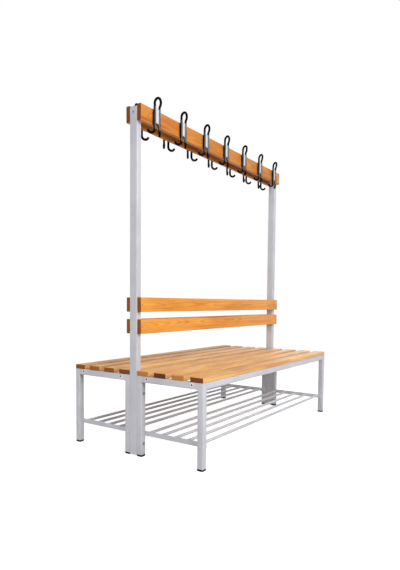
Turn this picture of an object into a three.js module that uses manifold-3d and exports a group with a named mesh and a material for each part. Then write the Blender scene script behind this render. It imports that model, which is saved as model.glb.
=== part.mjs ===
// Double-sided cloakroom bench: two slatted benches with shoe racks stand back to back and are clamped to
// two uprights, which carry backrest boards and two rows of bent-wire hat and coat hooks.
// Millimetres, +Z up. X runs along the bench, the front is -Y, and the origin lies on the floor, in the middle.

import * as THREE from 'three';
import { mergeVertices } from 'three/addons/utils/BufferGeometryUtils.js';
import Module from 'manifold-3d';

const wasm = await Module();
wasm.setup();

// Overall sizes
const benchLength = 1500;
const overallDepth = 805;
const uprightHeight = 1650;
const seatFrameHeight = 390;
const fitGap = 0.3;
const cutOverrun = 1;
const pointMerge = 0.0001;

// Square steel tube of the welded bench frames
const tubeSide = 30;
const tubeWall = 1.8;
const tubeCorner = 2.5;

// Black push-in plastic foot under each leg
const footHeight = 8;
const footEdge = 2.2;
const footPlugLength = 16;
const footPlugCorner = 1.5;

// Uprights, of rectangular steel tube
const uprightWidth = 30;
const uprightDepth = 45;
const uprightWall = 2;
const uprightCorner = 3;
const uprightFloorGap = 5;
const capThickness = 1.8;
const capEdge = 0.7;
const capPlugLength = 10;
const capPlugCorner = 1.2;

// Rail that ties the two uprights together between the hook boards
const headRailHeight = 30;
const headRailDrop = 10;

// Seat slats
const slatsPerBench = 4;
const slatWidth = 68;
const slatThickness = 22;
const slatEdgeInset = 1.35;
const boardEdge = 3;
const boardEndEase = 1;

// Backrest boards, two on each side
const backBoardHeight = 69;
const backBoardThickness = 22;
const backBoardPitch = 104;
const backBoardTop = 762.5;
const backBoardEndInset = 3;

// Hook boards, one on each side
const hookBoardHeight = 76;
const hookBoardThickness = 22;
const hookBoardRise = 6;

// Shoe racks: round bars between two flat end bars, bolted to the inboard faces of the legs
const rackHeight = 109;
const rackFlatHeight = 22;
const rackFlatThickness = 6;
const rackFlatEdge = 1.5;
const rackFlatInset = 3;
const rackBarCount = 5;
const rackBarInset = 36.85;
const rackBarDiameter = 14;

// Hooks: one bent wire makes the hat loop and both coat prongs
const hooksPerSide = 7;
const hookEndInset = 106.5;
const wireDiameter = 10;
const wireStandOff = 11;
const wireLegHalfSpacing = 17.8;
const loopRadius = 21.8;
const loopLean = 11;
const loopLeanPower = 1.4;
const loopTopRise = 49.5;
const prongRadius = 17.2;
const prongDrop = 37.5;
const prongSweepDegrees = 150;
const prongTurnDegrees = 35.5;

// Pressed steel saddle: a half-tube rib wraps each wire leg, and the web between them stands on two walls
const saddleSheet = 1.2;
const saddleRise = 12;
const saddleTail = 20;
const saddleRibStartDegrees = -75;
const saddleRibEndDegrees = 172;
const saddleWebDepth = 13;
const saddleWebTopRise = 1;
const saddleWebFloor = 10;
const saddleWallSpacing = 20;
const saddleWebSeatShare = 0.25;

// Facets
const cornerFacets = 1;
const barFacets = 5;
const wireFacets = 4;
const ribFacets = 4;
const prongSteps = 6;
const neckSteps = 3;
const loopQuarterSteps = 4;

// Places that follow from the sizes above
const halfLength = benchLength / 2;
const legX = halfLength - tubeSide / 2;
const legBottom = footHeight + fitGap;
const innerFaceY = uprightDepth / 2 + fitGap;
const outerFaceY = overallDepth / 2;
const innerLegY = innerFaceY + tubeSide / 2;
const outerLegY = outerFaceY - tubeSide / 2;
const benchCentreY = (innerFaceY + outerFaceY) / 2;
const uprightX = halfLength - uprightWidth / 2;
const hookBoardTop = uprightHeight + hookBoardRise;
const hookBoardBottom = hookBoardTop - hookBoardHeight;

const paintedSteel = { color: 0xc4c5cd, roughness: 0.45, metalness: 0.1 };
const lacqueredWood = { color: 0xd9954f, roughness: 0.5, metalness: 0 };
const blackPlastic = { color: 0x141415, roughness: 0.5, metalness: 0 };
const blackWire = { color: 0x0d0d0e, roughness: 0.35, metalness: 0 };
const zincPlate = { color: 0xc9cad0, roughness: 0.3, metalness: 0.8 };

const model = new THREE.Group();

function addPiece(parent, name, geometry, look, x, y, z) {
  const mesh = new THREE.Mesh(geometry, new THREE.MeshStandardMaterial(look));
  mesh.name = name;
  mesh.position.set(x, y, z);
  parent.add(mesh);
  return mesh;
}

function toSolid(geometry) {
  const bare = geometry.clone();
  bare.deleteAttribute('normal');
  bare.deleteAttribute('uv');
  const merged = mergeVertices(bare, pointMerge);
  const mesh = new wasm.Mesh({
    numProp: 3,
    vertProperties: new Float32Array(merged.attributes.position.array),
    triVerts: new Uint32Array(merged.index.array),
  });
  return new wasm.Manifold(mesh);
}

function toGeometry(solid) {
  const mesh = solid.getMesh();
  const geometry = new THREE.BufferGeometry();
  geometry.setAttribute('position', new THREE.BufferAttribute(new Float32Array(mesh.vertProperties), 3));
  geometry.setIndex(new THREE.BufferAttribute(new Uint32Array(mesh.triVerts), 1));
  geometry.computeVertexNormals();
  return geometry;
}

function joined(geometries) {
  return geometries.map(toSolid).reduce((sum, solid) => sum.add(solid));
}

function roundedRectangle(width, height, radius) {
  const right = width / 2 - radius;
  const top = height / 2 - radius;
  const shape = new THREE.Shape();
  shape.absarc(right, top, radius, 0, Math.PI / 2);
  shape.absarc(-right, top, radius, Math.PI / 2, Math.PI);
  shape.absarc(-right, -top, radius, Math.PI, 1.5 * Math.PI);
  shape.absarc(right, -top, radius, 1.5 * Math.PI, 2 * Math.PI);
  shape.closePath();
  return shape;
}

// A prism along Z, centred on the origin; its end edges can be eased by a bevel
function prism(shape, length, facets, ease = 0) {
  const geometry = new THREE.ExtrudeGeometry(shape, {
    depth: length - 2 * ease,
    curveSegments: facets,
    bevelEnabled: ease > 0,
    bevelThickness: ease,
    bevelSize: ease,
    bevelOffset: -ease,
    bevelSegments: facets,
  });
  return geometry.translate(0, 0, ease - length / 2);
}

// The section's own x and y become Y and Z
function alongX(geometry) {
  const turn = new THREE.Matrix4();
  turn.makeBasis(new THREE.Vector3(0, 1, 0), new THREE.Vector3(0, 0, 1), new THREE.Vector3(1, 0, 0));
  return geometry.applyMatrix4(turn);
}

// The section's own x and y become Z and X
function alongY(geometry) {
  const turn = new THREE.Matrix4();
  turn.makeBasis(new THREE.Vector3(0, 0, 1), new THREE.Vector3(1, 0, 0), new THREE.Vector3(0, 1, 0));
  return geometry.applyMatrix4(turn);
}

// One bench frame: four legs, two long rails and three cross rails, welded, with the tubes open to each other
// inside and at the bottom of each leg. Its own origin lies on the floor, below its middle.
function benchFrameGeometry() {
  const outside = roundedRectangle(tubeSide, tubeSide, tubeCorner);
  const boreSide = tubeSide - 2 * tubeWall;
  const bore = roundedRectangle(boreSide, boreSide, tubeCorner - tubeWall);
  const legLength = seatFrameHeight - legBottom;
  const boreLength = legLength - tubeWall + cutOverrun;
  const legY = outerLegY - benchCentreY;
  const railZ = seatFrameHeight - tubeSide / 2;
  const tubes = [];
  const bores = [];
  for (const y of [-legY, legY]) {
    for (const x of [-legX, legX]) {
      tubes.push(prism(outside, legLength, cornerFacets).translate(x, y, legBottom + legLength / 2));
      bores.push(prism(bore, boreLength, cornerFacets).translate(x, y, legBottom - cutOverrun + boreLength / 2));
    }
    tubes.push(alongX(prism(outside, 2 * legX, cornerFacets)).translate(0, y, railZ));
    bores.push(alongX(prism(bore, 2 * legX, cornerFacets)).translate(0, y, railZ));
  }
  for (const x of [-legX, 0, legX]) {
    tubes.push(alongY(prism(outside, 2 * legY, cornerFacets)).translate(x, 0, railZ));
    bores.push(alongY(prism(bore, 2 * legY, cornerFacets)).translate(x, 0, railZ));
  }
  return toGeometry(joined(tubes).subtract(joined(bores)));
}

// A foot has a rounded pad as wide as the leg, and a plug that is pushed into the leg's bore
function footGeometry() {
  const pad = prism(roundedRectangle(tubeSide, tubeSide, tubeCorner), footHeight, cornerFacets, footEdge);
  const plugSide = tubeSide - 2 * (tubeWall + fitGap);
  const plugLength = footPlugLength + footEdge;
  const plug = prism(roundedRectangle(plugSide, plugSide, footPlugCorner), plugLength, cornerFacets);
  pad.translate(0, 0, footHeight / 2);
  plug.translate(0, 0, footHeight - footEdge + plugLength / 2);
  return toGeometry(joined([pad, plug]));
}

// An upright stands just clear of the floor and is open at both ends
function uprightGeometry() {
  const length = uprightHeight - capThickness - fitGap - uprightFloorGap;
  const tube = prism(roundedRectangle(uprightWidth, uprightDepth, uprightCorner), length, cornerFacets);
  const boreWidth = uprightWidth - 2 * uprightWall;
  const boreDepth = uprightDepth - 2 * uprightWall;
  const boreShape = roundedRectangle(boreWidth, boreDepth, uprightCorner - uprightWall);
  const bore = prism(boreShape, length + 2 * cutOverrun, cornerFacets);
  return toGeometry(toSolid(tube).subtract(toSolid(bore))).translate(0, 0, uprightFloorGap + length / 2);
}

function uprightCapGeometry() {
  const lid = prism(roundedRectangle(uprightWidth, uprightDepth, uprightCorner), capThickness, cornerFacets, capEdge);
  const plugWidth = uprightWidth - 2 * (uprightWall + fitGap);
  const plugDepth = uprightDepth - 2 * (uprightWall + fitGap);
  const plugLength = capPlugLength + capEdge;
  const plug = prism(roundedRectangle(plugWidth, plugDepth, capPlugCorner), plugLength, cornerFacets);
  lid.translate(0, 0, -capThickness / 2);
  plug.translate(0, 0, capEdge - capThickness - plugLength / 2);
  return toGeometry(joined([lid, plug]));
}

function headRailGeometry() {
  const length = 2 * (halfLength - uprightWidth - fitGap);
  const tube = prism(roundedRectangle(uprightDepth, headRailHeight, uprightCorner), length, cornerFacets);
  const boreDepth = uprightDepth - 2 * uprightWall;
  const boreHeight = headRailHeight - 2 * uprightWall;
  const boreShape = roundedRectangle(boreDepth, boreHeight, uprightCorner - uprightWall);
  const bore = prism(boreShape, length + 2 * cutOverrun, cornerFacets);
  return alongX(toGeometry(toSolid(tube).subtract(toSolid(bore))));
}

// A planed board with rounded long edges, lying along X
function boardGeometry(thicknessY, heightZ, length) {
  return alongX(prism(roundedRectangle(thicknessY, heightZ, boardEdge), length, cornerFacets, boardEndEase));
}

// The rack's own origin is the middle of the bars' plane
function shoeRackGeometry() {
  const flatLength = outerFaceY - innerFaceY - 2 * rackFlatInset;
  const flatX = halfLength - tubeSide - fitGap - rackFlatThickness / 2;
  const flatShape = roundedRectangle(rackFlatHeight, rackFlatThickness, rackFlatEdge);
  const pieces = [];
  for (const x of [-flatX, flatX]) {
    pieces.push(alongY(prism(flatShape, flatLength, cornerFacets)).translate(x, 0, 0));
  }
  const barShape = new THREE.Shape().absarc(0, 0, rackBarDiameter / 2, 0, 2 * Math.PI);
  const barPitch = (flatLength - 2 * rackBarInset) / (rackBarCount - 1);
  for (let k = 0; k < rackBarCount; k += 1) {
    const y = (k - (rackBarCount - 1) / 2) * barPitch;
    pieces.push(alongX(prism(barShape, 2 * flatX, barFacets)).translate(0, y, 0));
  }
  return toGeometry(joined(pieces));
}

// The hook wire's centre line as a chain of stations, with a section square to the mean of the two spans
class WirePath extends THREE.Curve {
  constructor(stations) {
    super();
    this.stations = stations;
  }

  getPointAt(u) {
    return this.stations[Math.round(u * (this.stations.length - 1))].clone();
  }

  getTangentAt(u) {
    const last = this.stations.length - 1;
    const index = Math.round(u * last);
    const before = this.stations[Math.max(index - 1, 0)];
    const after = this.stations[Math.min(index + 1, last)];
    return after.clone().sub(before).normalize();
  }
}

// Half of the wire, from the tip of a coat prong up its leg to the top of the hat loop. The prong curls sideways
// and back below the board, and above the saddle the loop widens and leans out more and more. y is measured out
// from the board's face, z from its bottom edge.
function wireHalf() {
  const stations = [];
  const turn = THREE.MathUtils.degToRad(prongTurnDegrees);
  const prongZ = prongRadius - prongDrop;
  for (let k = prongSteps; k >= 0; k -= 1) {
    const sweep = THREE.MathUtils.degToRad(prongSweepDegrees * k / prongSteps);
    const reach = prongRadius * (1 - Math.cos(sweep));
    const x = wireLegHalfSpacing + reach * Math.cos(turn);
    const y = wireStandOff - reach * Math.sin(turn);
    stations.push(new THREE.Vector3(x, y, prongZ - prongRadius * Math.sin(sweep)));
  }
  const neckZ = hookBoardHeight + saddleRise + fitGap;
  const topZ = hookBoardHeight + loopTopRise;
  const loopZ = topZ - loopRadius;
  const standOffAt = (z) => wireStandOff + loopLean * ((z - neckZ) / (topZ - neckZ)) ** loopLeanPower;
  for (let k = 0; k <= neckSteps; k += 1) {
    const z = THREE.MathUtils.lerp(neckZ, loopZ, k / neckSteps);
    const widening = THREE.MathUtils.smoothstep(k, 0, neckSteps);
    const x = THREE.MathUtils.lerp(wireLegHalfSpacing, loopRadius, widening);
    stations.push(new THREE.Vector3(x, standOffAt(z), z));
  }
  for (let k = 1; k <= loopQuarterSteps; k += 1) {
    const angle = Math.PI / 2 * k / loopQuarterSteps;
    const z = loopZ + loopRadius * Math.sin(angle);
    stations.push(new THREE.Vector3(loopRadius * Math.cos(angle), standOffAt(z), z));
  }
  return stations;
}

function hookWireGeometry() {
  const half = wireHalf();
  const mirrored = half.slice(0, -1).reverse();
  const stations = half.concat(mirrored.map((p) => new THREE.Vector3(-p.x, p.y, p.z)));
  const section = new THREE.Shape().absarc(0, 0, wireDiameter / 2, 0, 2 * Math.PI);
  return new THREE.ExtrudeGeometry(section, {
    steps: stations.length - 1,
    curveSegments: wireFacets,
    extrudePath: new WirePath(stations),
  });
}

// The saddle's ribs are longer than its web and walls, which stay between the board's edges
function hookSaddleGeometry() {
  const inner = wireDiameter / 2 + fitGap;
  const outer = inner + saddleSheet;
  const start = THREE.MathUtils.degToRad(saddleRibStartDegrees);
  const end = THREE.MathUtils.degToRad(saddleRibEndDegrees);
  const ribTop = hookBoardHeight + saddleRise;
  const webTop = hookBoardHeight + saddleWebTopRise;
  const pieces = [];
  for (const side of [-1, 1]) {
    const rib = new THREE.Shape();
    const from = side > 0 ? start : Math.PI - start;
    const to = side > 0 ? end : Math.PI - end;
    rib.absarc(0, 0, outer, from, to, side < 0);
    rib.absarc(0, 0, inner, to, from, side > 0);
    rib.closePath();
    const ribSolid = prism(rib, ribTop + saddleTail, ribFacets);
    pieces.push(ribSolid.translate(side * wireLegHalfSpacing, wireStandOff, (ribTop - saddleTail) / 2));
    const wallDepth = saddleWebDepth - fitGap;
    const wall = new THREE.BoxGeometry(saddleSheet, wallDepth, webTop - saddleWebFloor);
    const wallX = side * (saddleWallSpacing - saddleSheet) / 2;
    pieces.push(wall.translate(wallX, fitGap + wallDepth / 2, (webTop + saddleWebFloor) / 2));
  }
  const webWidth = 2 * (wireLegHalfSpacing - inner - saddleWebSeatShare * saddleSheet);
  const web = new THREE.BoxGeometry(webWidth, saddleSheet, webTop - saddleWebFloor);
  pieces.push(web.translate(0, saddleWebDepth - saddleSheet / 2, (webTop + saddleWebFloor) / 2));
  return toGeometry(joined(pieces));
}

// Bench frames, feet, shoe racks and slats on both sides
const sides = [['front', -1], ['rear', 1]];
const ends = [['left', -1], ['right', 1]];
for (const [side, ySign] of sides) {
  addPiece(model, `bench_frame_${side}`, benchFrameGeometry(), paintedSteel, 0, ySign * benchCentreY, 0);
  addPiece(model, `shoe_rack_${side}`, shoeRackGeometry(), paintedSteel, 0, ySign * benchCentreY, rackHeight);
  for (const [end, xSign] of ends) {
    for (const [row, y] of [['inner', innerLegY], ['outer', outerLegY]]) {
      addPiece(model, `foot_${side}_${row}_${end}`, footGeometry(), blackPlastic, xSign * legX, ySign * y, 0);
    }
  }
  const slatPitch = (outerFaceY - innerFaceY - 2 * slatEdgeInset - slatWidth) / (slatsPerBench - 1);
  for (let k = 0; k < slatsPerBench; k += 1) {
    const y = outerFaceY - slatEdgeInset - slatWidth / 2 - k * slatPitch;
    const z = seatFrameHeight + fitGap + slatThickness / 2;
    const slat = boardGeometry(slatWidth, slatThickness, benchLength);
    addPiece(model, `seat_slat_${side}_${k + 1}`, slat, lacqueredWood, 0, ySign * y, z);
  }
}

// Uprights with their caps, and the rail between them
for (const [end, xSign] of ends) {
  addPiece(model, `upright_${end}`, uprightGeometry(), paintedSteel, xSign * uprightX, 0, 0);
  addPiece(model, `upright_cap_${end}`, uprightCapGeometry(), blackPlastic, xSign * uprightX, 0, uprightHeight);
}
addPiece(model, 'head_rail', headRailGeometry(), paintedSteel, 0, 0, uprightHeight - headRailDrop - headRailHeight / 2);

// Backrest and hook boards, screwed to the faces of the uprights
for (const [side, ySign] of sides) {
  const backY = ySign * (innerFaceY + backBoardThickness / 2);
  const backLength = benchLength - 2 * backBoardEndInset;
  for (const [level, top] of [['upper', backBoardTop], ['lower', backBoardTop - backBoardPitch]]) {
    const board = boardGeometry(backBoardThickness, backBoardHeight, backLength);
    addPiece(model, `back_board_${side}_${level}`, board, lacqueredWood, 0, backY, top - backBoardHeight / 2);
  }
  const hookBoard = boardGeometry(hookBoardThickness, hookBoardHeight, benchLength);
  const hookBoardY = ySign * (innerFaceY + hookBoardThickness / 2);
  addPiece(model, `hook_board_${side}`, hookBoard, lacqueredWood, 0, hookBoardY, hookBoardTop - hookBoardHeight / 2);

  // Hooks face outwards: the row's own +y points away from the board's face
  const row = new THREE.Group();
  row.position.set(0, ySign * (innerFaceY + hookBoardThickness), hookBoardBottom);
  row.rotation.z = ySign < 0 ? Math.PI : 0;
  model.add(row);
  const hookPitch = (benchLength - 2 * hookEndInset) / (hooksPerSide - 1);
  for (let k = 0; k < hooksPerSide; k += 1) {
    const x = (k - (hooksPerSide - 1) / 2) * hookPitch * ySign;
    addPiece(row, `hook_wire_${side}_${k + 1}`, hookWireGeometry(), blackWire, x, 0, 0);
    addPiece(row, `hook_saddle_${side}_${k + 1}`, hookSaddleGeometry(), zincPlate, x, 0, 0);
  }
}

export default model;
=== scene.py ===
import math

import bpy
import numpy as np
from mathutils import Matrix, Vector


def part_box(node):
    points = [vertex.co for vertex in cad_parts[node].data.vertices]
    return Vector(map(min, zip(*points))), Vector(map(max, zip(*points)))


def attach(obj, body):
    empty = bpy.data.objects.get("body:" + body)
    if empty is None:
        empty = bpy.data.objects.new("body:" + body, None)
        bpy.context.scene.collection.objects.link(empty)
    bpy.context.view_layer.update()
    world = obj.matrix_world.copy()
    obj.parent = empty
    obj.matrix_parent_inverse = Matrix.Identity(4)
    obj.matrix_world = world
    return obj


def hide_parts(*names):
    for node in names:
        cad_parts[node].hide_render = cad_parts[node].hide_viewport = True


# The double-sided cloakroom bench as it is put together: frames, feet, shoe racks, slats, uprights, boards, hooks
# and fasteners, then the studio. Lengths are in metres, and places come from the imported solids.
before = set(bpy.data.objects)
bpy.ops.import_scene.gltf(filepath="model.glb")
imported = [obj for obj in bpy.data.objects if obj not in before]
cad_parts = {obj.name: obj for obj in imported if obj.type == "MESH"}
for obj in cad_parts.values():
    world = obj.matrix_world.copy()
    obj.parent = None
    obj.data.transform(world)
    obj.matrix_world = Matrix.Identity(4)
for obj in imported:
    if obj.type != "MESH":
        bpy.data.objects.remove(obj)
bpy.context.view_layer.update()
MM = 0.001


# The two bench frames are welded from 30 mm square steel tube, each with four legs, two long rails and three cross
# rails. The welds stay as low beads, and the frame is powder coated light grey.
TUBE = 30 * MM
TUBE_CORNER = 3 * MM
TUBE_LAP = 2.2 * MM
WELD_RADIUS = 1.2 * MM
WELD_PROUD = 0.5 * MM
WELD_RIPPLE = 0.12
WELD_RIPPLES = 60 / 7
WELD_SIDES = 8
WELD_ARC_STEPS = 8
LEG_EASE = 0.6 * MM
CUT_EASE = 0.1 * MM
EASE_STEPS = 3
BORE_CORNER_SHARE = 0.25
SHARP_ANGLE = math.radians(40)
COAT_GREY = (0.62, 0.62, 0.665, 1)
COAT_SHADE = (0.55, 0.55, 0.595, 1)
COAT_CLOUDS = 9
COAT_PEEL = 1400
COAT_PEEL_DEPTH = 0.04 * MM


class Signal:
    """A shader socket. Sums, differences and products add Math nodes, and add() puts in any other node."""

    def __init__(self, tree, socket=None):
        self.tree = tree
        self.socket = socket

    def add(self, kind, settings=None, inputs=None, output=0):
        """A node of this kind, with its settings made first and then its sockets set or linked."""
        node = self.tree.nodes.new(kind)
        for name, value in (settings or {}).items():
            setattr(node, name, value)
        for name, value in (inputs or {}).items():
            if isinstance(value, Signal):
                self.tree.links.new(value.socket, node.inputs[name])
            else:
                node.inputs[name].default_value = value
        return Signal(self.tree, node.outputs[output] if node.outputs else None)

    def math(self, operation, *others):
        return self.add("ShaderNodeMath", {"operation": operation}, dict(enumerate((self, *others))))

    def __add__(self, other):
        return self.math("ADD", other)

    def __sub__(self, other):
        return self.math("SUBTRACT", other)

    def __rsub__(self, other):
        return self.math("MULTIPLY_ADD", -1, other)

    def __mul__(self, other):
        return self.math("MULTIPLY", other)

    __radd__ = __add__
    __rmul__ = __mul__

    def step(self, low, high):
        """0 below low, 1 above high, and a smooth rise between them."""
        limits = {"Value": self, "From Min": low, "From Max": high}
        return self.add("ShaderNodeMapRange", {"interpolation_type": "SMOOTHSTEP"}, limits)

    def noise(self, scale, detail=2.0, roughness=0.5):
        """Noise from 0 to 1 at this place."""
        inputs = {"Vector": self, "Scale": scale, "Detail": detail, "Roughness": roughness}
        return self.add("ShaderNodeTexNoise", {"noise_dimensions": "3D"}, inputs)

    def stretched(self, scales, centre=(0, 0, 0)):
        """This place, moved so that centre becomes the origin, and scaled along each axis."""
        moved = self.add("ShaderNodeVectorMath", {"operation": "SUBTRACT"}, {0: self, 1: centre})
        return self.add("ShaderNodeVectorMath", {"operation": "MULTIPLY"}, {0: moved, 1: scales})

    def between(self, low, high):
        """A colour from low to high, as this number goes from 0 to 1."""
        return self.add("ShaderNodeMix", {"data_type": "RGBA"}, {0: self, 6: low, 7: high}, 2)

    def bump(self, depth):
        """A normal for a surface whose height is this number times depth."""
        return self.add("ShaderNodeBump", {}, {"Distance": depth, "Height": self})


def coated(name, recipe):
    """A material whose Principled shader takes the inputs that recipe works out from the place on the object."""
    material = bpy.data.materials.new(name)
    material.use_nodes = True
    material.node_tree.nodes.clear()
    place = Signal(material.node_tree).add("ShaderNodeTexCoord", {}, {}, "Object")
    shader = place.add("ShaderNodeBsdfPrincipled", {}, recipe(place))
    place.add("ShaderNodeOutputMaterial", {}, {"Surface": shader})
    return material


def powder_coat(place):
    """Light grey powder coat: fine orange peel, faint clouding in colour and gloss."""
    clouds = place.noise(COAT_CLOUDS, 3)
    peel = place.noise(COAT_PEEL, 1)
    return {
        "Base Color": clouds.step(0.3, 0.75).between(COAT_GREY, COAT_SHADE),
        "Roughness": 0.4 + 0.1 * clouds,
        "Normal": peel.bump(COAT_PEEL_DEPTH),
        "Specular IOR Level": 0.45,
    }


def rounded_outline(width, height, radius, arc_steps=6):
    """A closed outline about its own centre, anticlockwise: four quarter circles joined by straight sides."""
    quarter = np.linspace(0, np.pi / 2, arc_steps + 1)
    angle = np.arange(4)[:, None] * np.pi / 2 + quarter
    across = (width / 2 - radius) * np.array([[1], [-1], [-1], [1]]) + radius * np.cos(angle)
    up = (height / 2 - radius) * np.array([[1], [1], [-1], [-1]]) + radius * np.sin(angle)
    return np.stack([across.ravel(), up.ravel()], axis=1)


def rings(points, closed_along=False):
    """A shell from rings of points, of shape (rings, points, 3), each anticlockwise seen from the last ring.

    Where the last ring doesn't join the first, both are filled.
    """
    count, size = points.shape[:2]
    index = np.arange(count * size).reshape(count, size)
    if closed_along:
        index = np.concatenate([index, index[:1]])
    near, far = index[:-1], index[1:]
    quads = np.stack([near, np.roll(near, -1, 1), np.roll(far, -1, 1), far], axis=-1).reshape(-1, 4)
    faces = [quads]
    if not closed_along:
        faces += [index[:1, ::-1], index[-1:]]
    return points.reshape(-1, 3), faces


AXIS_ROLL = {"X": 1, "Y": -1, "Z": 0}


def stand(points, axis, centre):
    """Turns points made along Z so that they lie along another axis, and moves them to centre."""
    return np.roll(points, AXIS_ROLL[axis], axis=-1) + np.array(centre)


def bar(size, radius, ease, axis, centre):
    """A bar along axis: size is its width, height and length, and both ends shrink along a quarter circle."""
    width, height, length = size
    turn = np.linspace(0, np.pi / 2, EASE_STEPS + 1)
    inset = ease * (1 - np.sin(turn))
    rise = ease * (1 - np.cos(turn))
    insets = np.concatenate([inset, inset[::-1]])
    along = np.concatenate([rise - length / 2, (length / 2 - rise)[::-1]])
    outlines = [rounded_outline(width - 2 * i, height - 2 * i, radius - i) for i in insets]
    heights = np.repeat(along[:, None], len(outlines[0]), axis=1)[..., None]
    return rings(stand(np.concatenate([np.array(outlines), heights], axis=2), axis, centre))


def hollow_bar(size, radius, wall, axis, centre):
    """A tube with open ends: one closed surface that runs up the outside, over the rim and down the bore."""
    width, height, length = size
    outer = rounded_outline(width, height, radius)
    bore_corner = max(radius - wall, radius * BORE_CORNER_SHARE)
    bore = rounded_outline(width - 2 * wall, height - 2 * wall, bore_corner)
    along = np.array([-1, 1, 1, -1]) * length / 2
    outlines = np.array([outer, outer, bore, bore])
    heights = np.repeat(along[:, None], len(outer), axis=1)[..., None]
    return rings(stand(np.concatenate([outlines, heights], axis=2), axis, centre), closed_along=True)


def tube_along(path, radius, sides, reference, closed=False):
    """A round tube along a path. Each ring is square to the path, and starts from the side away from reference."""
    if closed:
        forward = np.roll(path, -1, axis=0) - np.roll(path, 1, axis=0)
    else:
        forward = np.gradient(path, axis=0)
    forward /= np.linalg.norm(forward, axis=1, keepdims=True)
    side = np.cross(np.array(reference), forward)
    side /= np.linalg.norm(side, axis=1, keepdims=True)
    other = np.cross(forward, side)
    angle = np.linspace(0, 2 * np.pi, sides, endpoint=False)[None, :, None]
    reach = np.broadcast_to(radius, len(path))[:, None, None]
    around = np.cos(angle) * side[:, None] + np.sin(angle) * other[:, None]
    return rings(path[:, None] + reach * around, closed_along=closed)


def weld(width, height, radius, axis, centre):
    """A weld bead round a tube: a ring that follows the tube's outline, low and slightly rippled."""
    shrink = 2 * (WELD_RADIUS - WELD_PROUD)
    outline = rounded_outline(width - shrink, height - shrink, radius, WELD_ARC_STEPS)
    path = stand(np.pad(outline, ((0, 0), (0, 1))), axis, centre)
    ripple = 1 + WELD_RIPPLE * np.sin(np.arange(len(path)) * 2 * np.pi * WELD_RIPPLES / len(path))
    reference = np.roll((0, 0, 1), AXIS_ROLL[axis])
    return tube_along(path, WELD_RADIUS * ripple, WELD_SIDES, reference, closed=True)


def make_piece(name, shells, material, nodes=()):
    """Joins closed shells into one smooth object that rides on the bench and stands for these solids."""
    points, faces, first = [], [], 0
    for shell_points, shell_faces in shells:
        points.append(shell_points)
        for group in shell_faces:
            faces += (group + first).tolist()
        first += len(shell_points)
    mesh = bpy.data.meshes.new(name)
    mesh.from_pydata(np.concatenate(points), [], faces)
    mesh.shade_smooth()
    mesh.set_sharp_from_angle(angle=SHARP_ANGLE)
    mesh.materials.append(material)
    piece = bpy.data.objects.new(name, mesh)
    bpy.context.scene.collection.objects.link(piece)
    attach(piece, "root")
    if nodes:
        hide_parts(*nodes)
    return piece


def place_and_size(node):
    """The centre and the size of a solid's box."""
    low, high = (np.array(corner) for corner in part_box(node))
    return (low + high) / 2, high - low


steel_finish = coated("light_grey_powder_coat", powder_coat)
SIDES = {"front": -1, "rear": 1}
for side in SIDES:
    centre, size = place_and_size(f"bench_frame_{side}")
    reach_x = (size[0] - TUBE) / 2
    reach_y = (size[1] - TUBE) / 2
    top = centre[2] + size[2] / 2
    rail_z = top - TUBE / 2
    shells = []
    for y in centre[1] + reach_y * np.array([-1, 1]):
        for x in reach_x * np.array([-1, 1]):
            shells.append(bar((TUBE, TUBE, size[2]), TUBE_CORNER, LEG_EASE, "Z", (x, y, centre[2])))
            shells.append(weld(TUBE, TUBE, TUBE_CORNER, "X", (x - math.copysign(TUBE / 2, x), y, rail_z)))
        rail_length = 2 * (reach_x - TUBE / 2 + TUBE_LAP)
        shells.append(bar((TUBE, TUBE, rail_length), TUBE_CORNER, CUT_EASE, "X", (0, y, rail_z)))
        inward = math.copysign(TUBE / 2, centre[1] - y)
        for x in (-reach_x, 0, reach_x):
            shells.append(weld(TUBE, TUBE, TUBE_CORNER, "Y", (x, y + inward, rail_z)))
    for x in (-reach_x, 0, reach_x):
        cross_length = 2 * (reach_y - TUBE / 2 + TUBE_LAP)
        shells.append(bar((TUBE, TUBE, cross_length), TUBE_CORNER, CUT_EASE, "Y", (x, centre[1], rail_z)))
    make_piece(f"frame_{side}", shells, steel_finish, [f"bench_frame_{side}"])


# A black plastic glide is pushed into each leg. Its pad laps a little over the end of the tube, and rounds in to a
# flat sole.
FOOT_WIDE = 30.5 * MM
FOOT_SOLE = 26 * MM
FOOT_ROUND = 3.2 * MM
FOOT_PAD = 9.4 * MM
FOOT_CORNER_SHARE = 1.1
FOOT_STEPS = 10
PLUG_GAP = 2.3 * MM
PLASTIC_BLACK = (0.003, 0.003, 0.0033, 1)
PLASTIC_SCUFF = (0.012, 0.012, 0.013, 1)
PLASTIC_GRAIN = 2500
PLASTIC_GRAIN_DEPTH = 0.05 * MM
PLASTIC_SCUFFS = 160


def moulded_plastic(place):
    """Black moulded plastic with a fine grain and grey scuffs."""
    grain = place.noise(PLASTIC_GRAIN, 2)
    scuff = place.noise(PLASTIC_SCUFFS, 4, 0.7)
    return {
        "Base Color": scuff.step(0.52, 0.75).between(PLASTIC_BLACK, PLASTIC_SCUFF),
        "Roughness": 0.42 + 0.2 * scuff,
        "Normal": grain.bump(PLASTIC_GRAIN_DEPTH),
        "Specular IOR Level": 0.05,
    }


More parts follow.
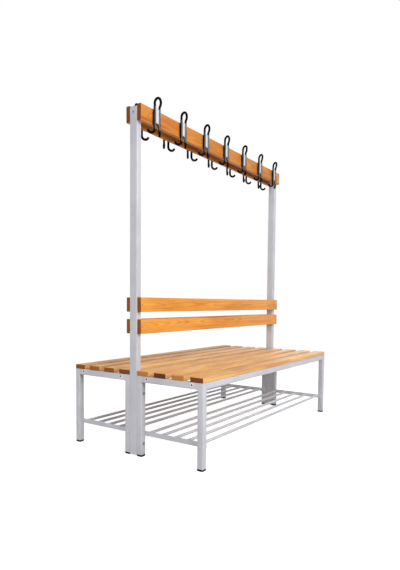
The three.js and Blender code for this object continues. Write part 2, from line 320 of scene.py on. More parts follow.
def glide(centre, size):
    """A stack of rounded squares: the sole widens to the pad along a quarter ellipse, then steps in to the plug."""
    turn = np.linspace(0, np.pi / 2, FOOT_STEPS)
    half = FOOT_SOLE / 2 + (FOOT_WIDE - FOOT_SOLE) / 2 * np.sin(turn)
    rise = FOOT_ROUND * (1 - np.cos(turn))
    half = np.concatenate([half, [FOOT_WIDE / 2, TUBE / 2 - PLUG_GAP, TUBE / 2 - PLUG_GAP]])
    rise = np.concatenate([rise, [FOOT_PAD, FOOT_PAD, size[2]]])
    outlines = [rounded_outline(2 * h, 2 * h, TUBE_CORNER * h / (TUBE / 2) * FOOT_CORNER_SHARE) for h in half]
    heights = np.repeat(rise[:, None], len(outlines[0]), axis=1)[..., None]
    base = (centre[0], centre[1], centre[2] - size[2] / 2)
    return rings(stand(np.concatenate([np.array(outlines), heights], axis=2), "Z", base))


plastic_finish = coated("black_moulded_plastic", moulded_plastic)
for side in SIDES:
    for row in ("inner", "outer"):
        for end in ("left", "right"):
            node = f"foot_{side}_{row}_{end}"
            make_piece(f"glide_{side}_{row}_{end}", [glide(*place_and_size(node))], plastic_finish,
                       [node])


# The shoe racks are round bars, welded at both ends to the inner faces of flat bars, which are bolted to the legs.
# They have the same powder coat as the frames.
RACK_BAR = 14 * MM
RACK_BAR_INSET = 36.85 * MM
RACK_BARS = 5
RACK_FLAT = 6 * MM
RACK_FLAT_CORNER = 1.5 * MM
RACK_FLAT_EASE = 0.5 * MM
for side in SIDES:
    node = f"shoe_rack_{side}"
    centre, size = place_and_size(node)
    flat_x = (size[0] - RACK_FLAT) / 2
    shells = []
    for x in (-flat_x, flat_x):
        flat_size = (size[2], RACK_FLAT, size[1])
        shells.append(bar(flat_size, RACK_FLAT_CORNER, RACK_FLAT_EASE, "Y", (x, centre[1], centre[2])))
    spread = size[1] / 2 - RACK_BAR_INSET
    for y in centre[1] + np.linspace(-spread, spread, RACK_BARS):
        at = (0, y, centre[2])
        shells.append(bar((RACK_BAR, RACK_BAR, 2 * flat_x), RACK_BAR / 2, CUT_EASE, "X", at))
        for x in np.array([-1, 1]) * (flat_x - RACK_FLAT / 2):
            shells.append(weld(RACK_BAR + WELD_RADIUS, RACK_BAR + WELD_RADIUS, RACK_BAR / 2, "X", (x, y, centre[2])))
    make_piece(f"rack_{side}", shells, steel_finish, [node])


# The slats and boards are planed from honey-coloured softwood, rounded along the edges and varnished. Each board has
# its own heart, so that its growth rings and its shade differ, and its sawn ends are darker.
WOOD_LIGHT = (0.82, 0.375, 0.085)
WOOD_DARK = (0.56, 0.195, 0.034)
WOOD_STREAK = (0.36, 0.105, 0.016)
WOOD_BLUSH = (0.55, 0.12, 0.02)
# One wood, tinted as lit and shaded copies: painted sheen makes the seat slats paler and bluer, painted shade makes
# the hook boards darker, and painted light sets the backrests' tone.
SEAT_PAINTED_SHEEN_TONE = (1.1, 1.44, 2.4)
BACK_PAINTED_LIGHT_TONE = (1.17, 1.11, 0.84)
HOOK_PAINTED_SHADE_TONE = (0.86, 0.74, 0.52)
END_DEEP = (0.13, 0.034, 0.008)
END_DARK = (0.22, 0.058, 0.012)
END_BROWN = (0.29, 0.084, 0.012)
END_AMBER = (0.37, 0.135, 0.024)
END_MID = (0.58, 0.235, 0.06)
RING_WIDTH = 3.4 * MM
RING_DRIFT = 60 * MM
BOARD_EDGE = 3 * MM
BOARD_EASE = 1 * MM
END_DEPTH = 1.2 * MM
SAWN_TONES = (1.1, 0.5)
GRAIN_DEPTH = 0.05 * MM
DRIFT_STRETCH = (1.2, 5, 5)
FIBRE_STRETCH = (8, 450, 450)
PATCH_STRETCH = (3.2, 14, 14)
STREAK_STRETCH = (1.6, 70, 70)
BLUSH_STRETCH = (1.5, 20, 20)
PATTERN_SHIFT = 3
HEART_SPREAD_SHARE = 0.3
HEART_DEPTHS = (25 * MM, 55 * MM)
SHADE_RANGE = (0.94, 1.04)
WOOD_SEED = 7
chance = np.random.default_rng(WOOD_SEED)


def tinted(colour, tone):
    """An opaque colour, scaled by a tone."""
    return (*(np.array(colour) * tone), 1)


def varnished_wood(centre, size, end_colour, tone):
    """The recipe of one board: rings round its heart, fibres and streaks along it, patches, and sawn ends."""
    origin = centre + chance.uniform(-PATTERN_SHIFT, PATTERN_SHIFT, 3)
    thin = np.argmin(size[1:])
    heart = centre[1:] + chance.uniform(-HEART_SPREAD_SHARE, HEART_SPREAD_SHARE, 2) * size[1:]
    heart[thin] += chance.choice((-1, 1)) * chance.uniform(*HEART_DEPTHS)
    tone = np.array(tone) * chance.uniform(*SHADE_RANGE)

    def recipe(place):
        drift = (place.stretched(DRIFT_STRETCH, origin).noise(1.0, 2) - 0.5) * RING_DRIFT
        across = place.stretched((0, 1, 1))
        away = across.add("ShaderNodeVectorMath", {"operation": "DISTANCE"}, {0: across, 1: (0, *heart)}, 1)
        age = ((away + drift) * (1 / RING_WIDTH)).math("FRACT")
        late = age.step(0.3, 0.9) * (1 - age.step(0.92, 1.0))
        fibre = place.stretched(FIBRE_STRETCH, origin).noise(1.0, 3, 0.6)
        patch = place.stretched(PATCH_STRETCH, origin).noise(1.0, 3)
        streak = place.stretched(STREAK_STRETCH, origin).noise(1.0, 2)
        dark = 0.42 * late + 0.5 * fibre.step(0.3, 0.7) * patch.step(0.25, 0.7) + 0.3 * patch.step(0.4, 0.7)
        wood = dark.between(tinted(WOOD_LIGHT, tone), tinted(WOOD_DARK, tone))
        blush = place.stretched(BLUSH_STRETCH, origin).noise(1.0, 2)
        blushed = (blush.step(0.54, 0.7) * 0.45).between(wood, tinted(WOOD_BLUSH, tone))
        streaked = (streak.step(0.56, 0.74) * 0.75).between(blushed, tinted(WOOD_STREAK, tone))
        along = place.add("ShaderNodeSeparateXYZ", {}, {0: place}, "X").math("ABSOLUTE")
        at_end = along.step(size[0] / 2 - END_DEPTH, size[0] / 2 - END_DEPTH / 2)
        sawn = (0.7 * late).between(*(tinted(end_colour, shade) for shade in SAWN_TONES))
        return {
            "Base Color": at_end.between(streaked, sawn),
            "Roughness": 0.38 + 0.12 * fibre + 0.35 * at_end,
            "Normal": (0.6 * fibre + 0.4 * late).bump(GRAIN_DEPTH),
            "Specular IOR Level": 0.28,
        }

    return recipe


def make_board(name, node, end_colour, tone):
    """A planed board that fills its solid's box, with its own rings and shade."""
    centre, size = place_and_size(node)
    finish = coated(f"varnished_wood_{name}", varnished_wood(centre, size, end_colour, tone))
    shell = bar((size[1], size[2], size[0]), BOARD_EDGE, BOARD_EASE, "X", centre)
    make_piece(name, [shell], finish, [node])


SLAT_ENDS = {
    "front": (END_DARK, END_MID, END_DEEP, END_MID),
    "rear": (END_BROWN, END_AMBER, END_BROWN, END_DARK),
}
for side in SIDES:
    for number, end_colour in enumerate(SLAT_ENDS[side], 1):
        make_board(f"slat_{side}_{number}", f"seat_slat_{side}_{number}", end_colour, SEAT_PAINTED_SHEEN_TONE)


# Two uprights of 30 x 45 mm steel tube stand between the inner legs. A thin dark plastic cap closes each at the top,
# and a short tube ties their heads together between the hook boards.
UPRIGHT_CORNER = 3 * MM
UPRIGHT_WALL = 2 * MM
CAP_LID = 1.8 * MM
CAP_EDGE = 0.8 * MM
CAP_PLUG_CORNER = 1.2 * MM
CAP_PLUG_EASE = 0.3 * MM
ENDS = {"left": -1, "right": 1}
for end in ENDS:
    node = f"upright_{end}"
    centre, size = place_and_size(node)
    make_piece(f"post_{end}", [hollow_bar(size, UPRIGHT_CORNER, UPRIGHT_WALL, "Z", centre)], steel_finish,
               [node])
    node = f"upright_cap_{end}"
    centre, size = place_and_size(node)
    lid_z = centre[2] + (size[2] - CAP_LID) / 2
    plug = (size[0] - 2 * PLUG_GAP, size[1] - 2 * PLUG_GAP, size[2] - CAP_LID / 2)
    shells = [
        bar((size[0], size[1], CAP_LID), UPRIGHT_CORNER, CAP_EDGE, "Z", (centre[0], centre[1], lid_z)),
        bar(plug, CAP_PLUG_CORNER, CAP_PLUG_EASE, "Z", (centre[0], centre[1], centre[2] - CAP_LID / 4)),
    ]
    make_piece(f"post_cap_{end}", shells, plastic_finish, [node])
centre, size = place_and_size("head_rail")
head_shell = hollow_bar((size[1], size[2], size[0]), UPRIGHT_CORNER, UPRIGHT_WALL, "X", centre)
make_piece("head_tube", [head_shell], steel_finish, ["head_rail"])


# Two backrest boards on each side, and a hook board at the top of each side, are screwed to the uprights.
for side in SIDES:
    for level in ("upper", "lower"):
        make_board(f"backrest_{side}_{level}", f"back_board_{side}_{level}", END_BROWN, BACK_PAINTED_LIGHT_TONE)
    make_board(f"hook_rail_{side}", f"hook_board_{side}", END_DARK, HOOK_PAINTED_SHADE_TONE)


# Each hook is one steel wire, dipped in black plastic. From a coat prong it runs up through the saddle, round the hat
# loop and down to the other prong. Its coating is pressed thinner in the saddle.
WIRE = 12 * MM
WIRE_PRESSED = 10.2 * MM
WIRE_OUT = 11 * MM
WIRE_APART = 17.8 * MM
PRONG_RADIUS = 17.2 * MM
PRONG_FLOOR = 37.5 * MM
PRONG_SWEEP = math.radians(150)
PRONG_TURN = math.radians(35.5)
LOOP_RADIUS = 21.8 * MM
LOOP_LEAN = 11 * MM
LOOP_LEAN_POWER = 1.4
LOOP_RISE = 49.5 * MM
SADDLE_RISE = 10.5 * MM
SADDLE_TAIL = 20 * MM
WIRE_SIDES = 20
PRONG_STEPS = 26
LEG_STEPS = 5
PRESSED_STEPS = 4
NECK_STEPS = 8
LOOP_STEPS = 14
DOME_STEPS = 5
DOME_END = math.radians(86)
HOOKS_PER_SIDE = 7
HOOK_END_INSET = 106.5 * MM
WIRE_BLACK = (0.002, 0.002, 0.0022, 1)
WIRE_WORN = (0.007, 0.007, 0.0075, 1)
WIRE_LUMPS = 220
WIRE_LUMP_DEPTH = 0.08 * MM
WIRE_RUBS = 60


def dipped_wire(place):
    """Glossy black dip coating, slightly uneven, and duller where coats rub it."""
    lumps = place.noise(WIRE_LUMPS, 2)
    rub = place.noise(WIRE_RUBS, 3)
    return {
        "Base Color": rub.step(0.5, 0.8).between(WIRE_BLACK, WIRE_WORN),
        "Roughness": 0.3 + 0.25 * rub,
        "Normal": lumps.bump(WIRE_LUMP_DEPTH),
        "Specular IOR Level": 0.025,
    }


def smooth_rise(share):
    """A rise from 0 to 1 that starts and ends level: three times the square, less twice the cube."""
    return share * share * (3 - 2 * share)


def hook_path(board_height):
    """The wire's centre line and its radius there.

    Two prongs curl sideways and back, two straight legs follow, and the loop between them leans out.
    """
    sweep = np.linspace(PRONG_SWEEP, 0, PRONG_STEPS)
    reach = PRONG_RADIUS * (1 - np.cos(sweep))
    prong_x = WIRE_APART + reach * math.cos(PRONG_TURN)
    prong_y = WIRE_OUT - reach * math.sin(PRONG_TURN)
    prong_z = PRONG_RADIUS - PRONG_FLOOR - PRONG_RADIUS * np.sin(sweep)
    neck_z = board_height + SADDLE_RISE
    top_z = board_height + LOOP_RISE
    loop_z = top_z - LOOP_RADIUS
    leg_z = np.linspace(prong_z[-1], neck_z, LEG_STEPS + 1)[1:]
    rise = np.linspace(0, 1, NECK_STEPS + 1)[1:]
    turn = np.linspace(0, math.pi / 2, LOOP_STEPS + 1)[1:]
    neck_x = WIRE_APART + (LOOP_RADIUS - WIRE_APART) * smooth_rise(rise)
    x = np.concatenate([prong_x, np.full(LEG_STEPS, WIRE_APART), neck_x, LOOP_RADIUS * np.cos(turn)])
    z = np.concatenate([prong_z, leg_z, neck_z + (loop_z - neck_z) * rise, loop_z + LOOP_RADIUS * np.sin(turn)])
    lean = LOOP_LEAN * np.clip((z - neck_z) / (top_z - neck_z), 0, 1) ** LOOP_LEAN_POWER
    y = np.concatenate([prong_y, np.full(len(x) - len(prong_y), WIRE_OUT)]) + lean
    half = np.stack([x, y, z], axis=1)
    radius = np.full(len(x), WIRE / 2)
    radius[PRONG_STEPS:PRONG_STEPS + PRESSED_STEPS] = WIRE_PRESSED / 2
    path = np.concatenate([half, half[-2::-1] * (-1, 1, 1)])
    return path, np.concatenate([radius, radius[-2::-1]])


def round_ends(path, radii):
    """Adds stations to both ends of a path, and their radii, that close the tube with a dome."""
    angle = np.linspace(0, DOME_END, DOME_STEPS)[1:]
    radius = radii[0]
    first = path[0] - path[1]
    last = path[-1] - path[-2]
    out = np.sin(angle)[:, None] * radius
    head = path[0] + out[::-1] * first / np.linalg.norm(first)
    tail = path[-1] + out * last / np.linalg.norm(last)
    shrink = radius * np.cos(angle)
    return np.concatenate([head, path, tail]), np.concatenate([shrink[::-1], radii, shrink])


def outward(points, side, x, face_y, bottom_z):
    """Moves points made with y out of the board to a hook's place, turned half round on the front."""
    turned = points * (SIDES[side], SIDES[side], 1)
    return turned + np.array((x, face_y, bottom_z))


wire_finish = coated("black_dip_coating", dipped_wire)
hook_places = []
for side in SIDES:
    centre, size = place_and_size(f"hook_board_{side}")
    face_y = centre[1] + SIDES[side] * size[1] / 2
    bottom_z = centre[2] - size[2] / 2
    first_x = size[0] / 2 - HOOK_END_INSET
    for number, x in enumerate(np.linspace(-first_x, first_x, HOOKS_PER_SIDE), 1):
        hook_places.append((side, number, (side, x, face_y, bottom_z), size[2]))
for side, number, at, board_height in hook_places:
    path, radii = round_ends(*hook_path(board_height))
    points, faces = tube_along(path, radii, WIRE_SIDES, (0, 1, 0))
    make_piece(f"wire_{side}_{number}", [(outward(points, *at), faces)], wire_finish,
               [f"hook_wire_{side}_{number}"])


# A saddle pressed from bright steel sheet holds each wire: a half-tube rib wraps each leg, and the flat web between
# them stands on two walls behind it, which rest on the board.
# The ribs carry painted shade and dark reflection, and painted shadow at their outer edges.
SHEET = 1.2 * MM
RIB_RADIUS = 5.9 * MM
RIB_START = math.radians(-75)
WEB_FRONT = 13 * MM
WEB_FILLET = 1.6 * MM
WEB_TOP = 1 * MM
WEB_FLOOR = 10 * MM
WALLS_APART = 20 * MM
WALL_GAP = 0.6 * MM
WALL_CORNER = 0.3 * MM
WALL_EASE = 0.2 * MM
RIB_STEPS = 36
FILLET_STEPS = 7
WEB_STEPS = 8
SHEET_ROWS = 5
TOP_NOTCH = (24 * MM, 11 * MM)
TAIL_NOTCH = (13.6 * MM, 9.8 * MM)
# Painted shade: from these distances off each hook's middle, the ribs are painted dark for shade and dark reflection,
# and black at the outer edges for shadow.
RIB_SHADE_PLACES = (10 * MM, 11.8 * MM, 21.4 * MM, 23.8 * MM)
RIB_SHADE_AMOUNTS = (0, 0.5, 0.5, 1)
ZINC_BRIGHT = (0.80, 0.80, 0.82, 1)
ZINC_DULL = (0.68, 0.68, 0.71, 1)
RIB_PAINTED_SHADE = (0.055, 0.055, 0.058, 1)
RIB_EDGE_PAINTED_SHADOW = (0.006, 0.006, 0.006, 1)
ZINC_DRAWN = (900, 900, 12)
ZINC_CLOUDS = 70


def bright_steel(place):
    """Bright steel sheet, drawn lengthwise and a little cloudy, with painted dark reflection and shade on the ribs and
    painted shadow at their outer edges.
    """
    drawn = place.stretched(ZINC_DRAWN).noise(1.0, 3)
    cloud = place.noise(ZINC_CLOUDS, 3)
    painted_rib_shade = place.add("ShaderNodeAttribute", {"attribute_name": "painted_rib_shade"}, {}, "Fac")
    flat = cloud.step(0.35, 0.8).between(ZINC_BRIGHT, ZINC_DULL)
    return {
        "Base Color": painted_rib_shade.step(0.5, 1).between(painted_rib_shade.step(0, 0.5).between(flat, RIB_PAINTED_SHADE), RIB_EDGE_PAINTED_SHADOW),
        "Metallic": 1.0,
        "Roughness": 0.3 + 0.1 * drawn,
    }


def sheet_section():
    """Half of the sheet's middle line with its outward normals: an arc round the wire, a fillet, then the flat web."""
    web_y = WEB_FRONT - SHEET / 2
    fillet_y = web_y + WEB_FILLET
    lift = math.asin((fillet_y - WIRE_OUT) / (RIB_RADIUS + WEB_FILLET))
    arc = np.linspace(RIB_START, math.pi - lift, RIB_STEPS)
    arc_normal = np.stack([np.cos(arc), np.sin(arc)], axis=1)
    arc_line = np.array((WIRE_APART, WIRE_OUT)) + RIB_RADIUS * arc_normal
    fillet_x = WIRE_APART - (RIB_RADIUS + WEB_FILLET) * math.cos(lift)
    bend = np.linspace(-lift, -math.pi / 2, FILLET_STEPS + 1)[1:]
    bend_out = np.stack([np.cos(bend), np.sin(bend)], axis=1)
    bend_line = np.array((fillet_x, fillet_y)) + WEB_FILLET * bend_out
    web_x = np.linspace(fillet_x, 0, WEB_STEPS + 1)[1:]
    web_line = np.stack([web_x, np.full(len(web_x), web_y)], axis=1)
    web_normal = np.tile((0.0, 1.0), (len(web_x), 1))
    line = np.concatenate([arc_line, bend_line, web_line])
    normal = np.concatenate([arc_normal, -bend_out, web_normal])
    return line, normal


def notch(x, start, end):
    """0 outside start on both sides of the web, 1 inside end, and a smooth step between them."""
    return smooth_rise(np.clip((start - np.abs(x)) / (start - end), 0, 1))


def saddle_shell(board_height):
    """The sheet as one surface: its front goes up and its back goes down, and ribs reach further than the web."""
    line, normal = sheet_section()
    line = np.concatenate([line, line[-2::-1] * (-1, 1)])
    normal = np.concatenate([normal, normal[-2::-1] * (-1, 1)])
    top = board_height + SADDLE_RISE + (WEB_TOP - SADDLE_RISE) * notch(line[:, 0], *TOP_NOTCH)
    bottom = -SADDLE_TAIL + (WEB_FLOOR + SADDLE_TAIL) * notch(line[:, 0], *TAIL_NOTCH)
    up = np.linspace(0, 1, SHEET_ROWS)[:, None]
    z_front = bottom + (top - bottom) * up
    z_all = np.concatenate([z_front, z_front[::-1]])
    offset = np.repeat((SHEET / 2, -SHEET / 2), SHEET_ROWS)
    section = line[None] + offset[:, None, None] * normal[None]
    points = np.concatenate([section, z_all[..., None]], axis=2)
    return rings(points.transpose(1, 0, 2)[::-1])


saddle_finish = coated("bright_zinc_plate", bright_steel)
for side, number, at, board_height in hook_places:
    points, faces = saddle_shell(board_height)
    shells = [(outward(points, *at), faces)]
    wall_height = board_height + WEB_TOP - WEB_FLOOR
    for x in np.array([-1, 1]) * (WALLS_APART - SHEET) / 2:
        wall_at = (x, (WEB_FRONT - SHEET / 2) / 2, WEB_FLOOR + wall_height / 2)
        wall_size = (SHEET, WEB_FRONT - SHEET / 2 - WALL_GAP, wall_height)
        points, faces = bar(wall_size, WALL_CORNER, WALL_EASE, "Z", wall_at)
        shells.append((outward(points, *at), faces))
    saddle = make_piece(f"saddle_{side}_{number}", shells, saddle_finish,
                        [f"hook_saddle_{side}_{number}"])
    # The painted rib shade and edge shadow go into a point attribute, by distance from the hook's middle.
    reach = np.abs(np.concatenate([points for points, faces in shells])[:, 0] - at[1])
    saddle.data.attributes.new("painted_rib_shade", "FLOAT", "POINT").data.foreach_set(
        "value", np.interp(reach, RIB_SHADE_PLACES, RIB_SHADE_AMOUNTS))


# Bolts with domed heads and hexagon sockets clamp the inner legs on the uprights and hold the racks, the head tube
# and, from below, the slats. Threaded rivets sit in the end rails, and wood screws in the boards. The first three
# values give each head's diameter, its height and the reach of its socket.
BOLT_M8 = (14 * MM, 4.2 * MM, 2.9 * MM)
BOLT_M6 = (10.5 * MM, 3.2 * MM, 2.3 * MM)
SCREW = (8.5 * MM, 0.7 * MM, 2.0 * MM)
HEAD_SIDES = 36
HEAD_RINGS = 6
HEAD_DOME_SHARE = 0.62
HEAD_RIM_SHARE = 0.18
SOCKET_RIM_SHARE = 1.15
SOCKET_REACH_SHARES = (1.0, 1.0, 0.02)
SOCKET_HEIGHT_SHARES = (0.98, 0.35, 0.25)
CLAMP_HEIGHTS = (305 * MM, 63 * MM)
RIVET_FLANGE = 15 * MM
RIVET_HOLE = 9.8 * MM
RIVET_LIP = 1.12 * RIVET_HOLE
RIVET_THREAD = 0.98 * RIVET_HOLE
RIVET_RISES = (0, 0.7 * MM, 0.9 * MM, 0.5 * MM, 0.1 * MM)
RIVET_SIDES = 32
BORE_SHADE_DISC = 0.8 * MM
BORE_EASE = 0.05 * MM
RIVET_FROM_MIDDLE = (83 * MM, 342 * MM)
RIVET_HEIGHT = 378 * MM
SLAT_BOLT_DROP = 18 * MM
HOOK_BOARD_SCREW_INSET = 55 * MM
FASTENER_GREY = (0.26, 0.26, 0.28, 1)
FASTENER_DULL = (0.12, 0.12, 0.13, 1)
FASTENER_CLOUDS = 400
BORE_PAINTED_SHADE = (0.004, 0.004, 0.004, 1)


def plated_fastener(place):
    """Dull zinc plating on small steel parts."""
    cloud = place.noise(FASTENER_CLOUDS, 3)
    return {
        "Base Color": cloud.step(0.3, 0.8).between(FASTENER_GREY, FASTENER_DULL),
        "Metallic": 0.85,
        "Roughness": 0.32 + 0.2 * cloud,
    }


def face_towards(points, direction, centre):
    """Turns points made along +Z so that +Z becomes direction, and moves them to centre."""
    forward = np.array(direction, float)
    side = np.array((0.0, 0.0, 1.0)) if abs(forward[2]) < 0.5 else np.array((1.0, 0.0, 0.0))
    return points @ np.array([side, np.cross(forward, side), forward]) + np.array(centre)


def domed_head(shape, direction, centre):
    """A domed head with a hexagon socket: circles from the rim up the dome, then hexagons down the socket."""
    diameter, height, socket = shape
    angle = np.linspace(0, 2 * np.pi, HEAD_SIDES, endpoint=False)
    hexagon = math.cos(math.pi / 6) / np.cos(np.mod(angle, math.pi / 3) - math.pi / 6)
    dome = np.linspace(0, 1, HEAD_RINGS)
    radius = diameter / 2 * (np.sqrt(1 - dome ** 2) * HEAD_DOME_SHARE + 1 - HEAD_DOME_SHARE)
    radius = np.concatenate([[diameter / 2], radius[:-1], [socket * SOCKET_RIM_SHARE]])
    rise = np.concatenate([[0], height * (HEAD_RIM_SHARE + (1 - HEAD_RIM_SHARE) * dome[:-1]), [height]])
    circles = np.repeat(radius[:, None], HEAD_SIDES, axis=1)
    hexes = socket * np.array(SOCKET_REACH_SHARES)[:, None] * hexagon
    reach = np.concatenate([circles, hexes])
    depth = np.concatenate([rise, height * np.array(SOCKET_HEIGHT_SHARES)])
    depth = np.repeat(depth[:, None], HEAD_SIDES, axis=1)
    points = np.stack([reach * np.cos(angle), reach * np.sin(angle), depth], axis=2)
    points, faces = rings(points)
    return face_towards(points, direction, centre), faces


def rivet(direction, centre):
    """A threaded rivet: a thin flange round an open threaded bore."""
    angle = np.linspace(0, 2 * np.pi, RIVET_SIDES, endpoint=False)
    radius = np.array([RIVET_FLANGE, RIVET_FLANGE, RIVET_LIP, RIVET_HOLE, RIVET_THREAD]) / 2
    ring = np.stack([np.cos(angle), np.sin(angle)], axis=1)
    rises = np.repeat(np.array(RIVET_RISES)[:, None], RIVET_SIDES, axis=1)[..., None]
    points = np.concatenate([radius[:, None, None] * ring, rises], axis=2)
    points, faces = rings(points)
    return face_towards(points, direction, centre), faces


def painted_bore_shade(place):
    """Painted shade: flat black for a thin disc in each rivet, standing in for the unlit inside of its threaded bore.
    """
    return {"Base Color": BORE_PAINTED_SHADE, "Roughness": 0.9, "Specular IOR Level": 0.0}


fastener_finish = coated("dull_zinc_plate", plated_fastener)
bore_shade_finish = coated("painted_bore_shade", painted_bore_shade)
frame_centre, frame_size = place_and_size("bench_frame_front")
post_x = abs(place_and_size("upright_left")[0][0])
end_x = frame_size[0] / 2
inner_leg_face = abs(frame_centre[1]) - frame_size[1] / 2 + TUBE
leg_lines = np.array([-1, 1]) * (frame_size[1] - TUBE) / 2 + abs(frame_centre[1])
rack_z = place_and_size("shoe_rack_front")[0][2]
clamp_shells, rack_shells, rivet_shells, bore_shade_shells, slat_shells = [], [], [], [], []
for side, y_sign in SIDES.items():
    for x_sign in ENDS.values():
        for z in CLAMP_HEIGHTS:
            at = (x_sign * post_x, y_sign * inner_leg_face, z)
            clamp_shells.append(domed_head(BOLT_M8, (0, y_sign, 0), at))
        for y in leg_lines:
            rack_shells.append(domed_head(BOLT_M6, (x_sign, 0, 0), (x_sign * end_x, y_sign * y, rack_z)))
        for y in RIVET_FROM_MIDDLE:
            at = (x_sign * end_x, y_sign * y, RIVET_HEIGHT)
            rivet_shells.append(rivet((x_sign, 0, 0), at))
            # A thin black disc in each rivet's bore is painted shade for its unlit inside.
            bore_shade_shells.append(bar((RIVET_HOLE, RIVET_HOLE, BORE_SHADE_DISC), RIVET_HOLE / 2, BORE_EASE, "X", at))
    for number in range(1, len(SLAT_ENDS[side]) + 1):
        slat_y = place_and_size(f"seat_slat_{side}_{number}")[0][1]
        bolt_y = np.clip(slat_y, *sorted(y_sign * (leg_lines + (TUBE, -TUBE))))
        for x in (-post_x, 0, post_x):
            at = (x, bolt_y, RIVET_HEIGHT - SLAT_BOLT_DROP)
            slat_shells.append(domed_head(BOLT_M6, (0, 0, -1), at))
make_piece("clamp_bolts", clamp_shells, fastener_finish)
make_piece("rack_bolts", rack_shells, steel_finish)
make_piece("end_rail_rivets", rivet_shells, saddle_finish)
make_piece("end_rail_bore_shade", bore_shade_shells, bore_shade_finish)
make_piece("slat_screws", slat_shells, fastener_finish)

screw_shells = []
for side, y_sign in SIDES.items():
    for level in ("upper", "lower"):
        centre, size = place_and_size(f"back_board_{side}_{level}")
        for x in (-post_x, post_x):
            at = (x, centre[1] + y_sign * size[1] / 2, centre[2])
            screw_shells.append(domed_head(SCREW, (0, y_sign, 0), at))
    centre, size = place_and_size(f"hook_board_{side}")
    for x_sign in ENDS.values():
        x = x_sign * (size[0] / 2 - HOOK_BOARD_SCREW_INSET)
        screw_shells.append(domed_head(SCREW, (0, y_sign, 0), (x, centre[1] + y_sign * size[1] / 2, centre[2])))
make_piece("board_screws", screw_shells, fastener_finish)
head_z = place_and_size("head_rail")[0][2]
head_shells = [domed_head(BOLT_M6, (x_sign, 0, 0), (x_sign * end_x, 0, head_z)) for x_sign in ENDS.values()]
make_piece("head_bolts", head_shells, fastener_finish)


# The studio: a white floor that runs on behind the bench, white surroundings, a wide key lamp in front on the left,
# low lamps in front and on the left, and high ones on the right and behind, which light the far sides.
FLOOR_REACH = 14
FLOOR_ALBEDO = (0.5, 0.5, 0.5, 1)
FLOOR_LIFT = 0.82
FLOOR_FADE = (1.7, 4.0)


def seen_directly(start):
    """1 on rays from the camera and in reflections and glass, and 0 where a surface only lights another one."""
    camera_ray = start.add("ShaderNodeLightPath", {}, {}, "Is Camera Ray")
    glossy_ray = start.add("ShaderNodeLightPath", {}, {}, "Is Glossy Ray")
    glass_ray = start.add("ShaderNodeLightPath", {}, {}, "Is Transmission Ray")
    return camera_ray.math("MAXIMUM", glossy_ray).math("MAXIMUM", glass_ray)


def white_floor():
    """Diffuse, so that it keeps shadows, with a glow for what is seen directly, and plain white further away."""
    material = bpy.data.materials.new("studio_floor")
    material.use_nodes = True
    material.node_tree.nodes.clear()
    start = Signal(material.node_tree)
    seen = seen_directly(start)
    place = start.add("ShaderNodeTexCoord", {}, {}, "Object")
    away = place.add("ShaderNodeVectorMath", {"operation": "LENGTH"}, {0: place}, "Value")
    shader = start.add("ShaderNodeBsdfDiffuse", {}, {"Color": FLOOR_ALBEDO})
    glow = start.add("ShaderNodeEmission", {}, {"Color": (1, 1, 1, 1), "Strength": FLOOR_LIFT * seen})
    both = start.add("ShaderNodeAddShader", {}, {0: shader, 1: glow})
    white = start.add("ShaderNodeEmission", {}, {"Color": (1, 1, 1, 1), "Strength": 1.0})
    faded = start.add("ShaderNodeMixShader", {}, {0: away.step(*FLOOR_FADE) * seen, 1: both, 2: white})
    start.add("ShaderNodeOutputMaterial", {}, {"Surface": faded})
    return material


floor_mesh = bpy.data.meshes.new("floor")
corners = FLOOR_REACH * np.array([(-1, -1, 0), (1, -1, 0), (1, 1, 0), (-1, 1, 0)])
floor_mesh.from_pydata(corners, [], [(0, 1, 2, 3)])
floor_mesh.materials.append(white_floor())
floor = bpy.data.objects.new("floor", floor_mesh)
bpy.context.scene.collection.objects.link(floor)

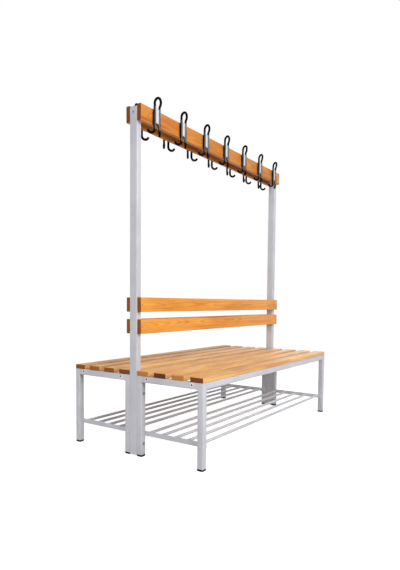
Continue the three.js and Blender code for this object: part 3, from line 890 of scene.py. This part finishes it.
world = bpy.data.worlds.new("white_studio")
bpy.context.scene.world = world
world.use_nodes = True
world.node_tree.nodes.clear()
AMBIENT = 0.04
sky = Signal(world.node_tree)
strength = AMBIENT + (1 - AMBIENT) * seen_directly(sky)
backdrop = sky.add("ShaderNodeBackground", {}, {"Color": (1, 1, 1, 1), "Strength": strength})
sky.add("ShaderNodeOutputWorld", {}, {"Surface": backdrop})


def lamp(name, place, target, size, power):
    """A square soft white lamp at place that faces target."""
    light = bpy.data.lights.new(name, "AREA")
    light.size = size
    light.energy = power
    item = bpy.data.objects.new(name, light)
    aim = np.array(target, float) - np.array(place, float)
    yaw = math.atan2(aim[1], aim[0]) - math.pi / 2
    tilt = math.acos(-aim[2] / np.linalg.norm(aim))
    item.location = place
    item.rotation_euler = (tilt, 0, yaw)
    bpy.context.scene.collection.objects.link(item)


MIDDLE = (0, 0, 0.8)
lamp("key", (-1.5, -4.6, 3.4), MIDDLE, 3.6, 280)
lamp("front", (-0.5, -5.4, 0.6), MIDDLE, 1.8, 28)
lamp("left", (-5.3, 0.3, 1.3), MIDDLE, 2.0, 92)
lamp("right", (4.9, 0.8, 3.7), MIDDLE, 2.0, 80)
lamp("behind", (-0.4, 5.0, 3.4), MIDDLE, 2.4, 95)


# The camera stands low at the left end, at the height of the backrest, and its shift keeps the posts upright.
PHOTO_LONG_SIDE = 570
SENSOR = 36
FOCAL_PIXELS = 488.4
CENTRE_PIXELS = (13.1, 45.2)
CAMERA_PLACE = (-2.499, -1.554, 0.740)
CAMERA_YAW = math.radians(35.34)
CAMERA_PITCH = math.radians(-3.25)
CAMERA_ROLL = math.radians(0.41)
view = bpy.data.cameras.new("camera")
view.sensor_width = SENSOR
view.lens = FOCAL_PIXELS / PHOTO_LONG_SIDE * SENSOR
view.shift_x = CENTRE_PIXELS[0] / PHOTO_LONG_SIDE
view.shift_y = CENTRE_PIXELS[1] / PHOTO_LONG_SIDE
camera = bpy.data.objects.new("camera", view)
bpy.context.scene.collection.objects.link(camera)
camera.location = CAMERA_PLACE
camera.rotation_mode = "XYZ"
camera.rotation_euler = (math.pi / 2 + CAMERA_PITCH, 0, CAMERA_YAW - math.pi / 2)
camera.rotation_euler.rotate_axis("Z", CAMERA_ROLL)
bpy.context.scene.camera = camera
bpy.context.scene.view_settings.view_transform = "Standard"
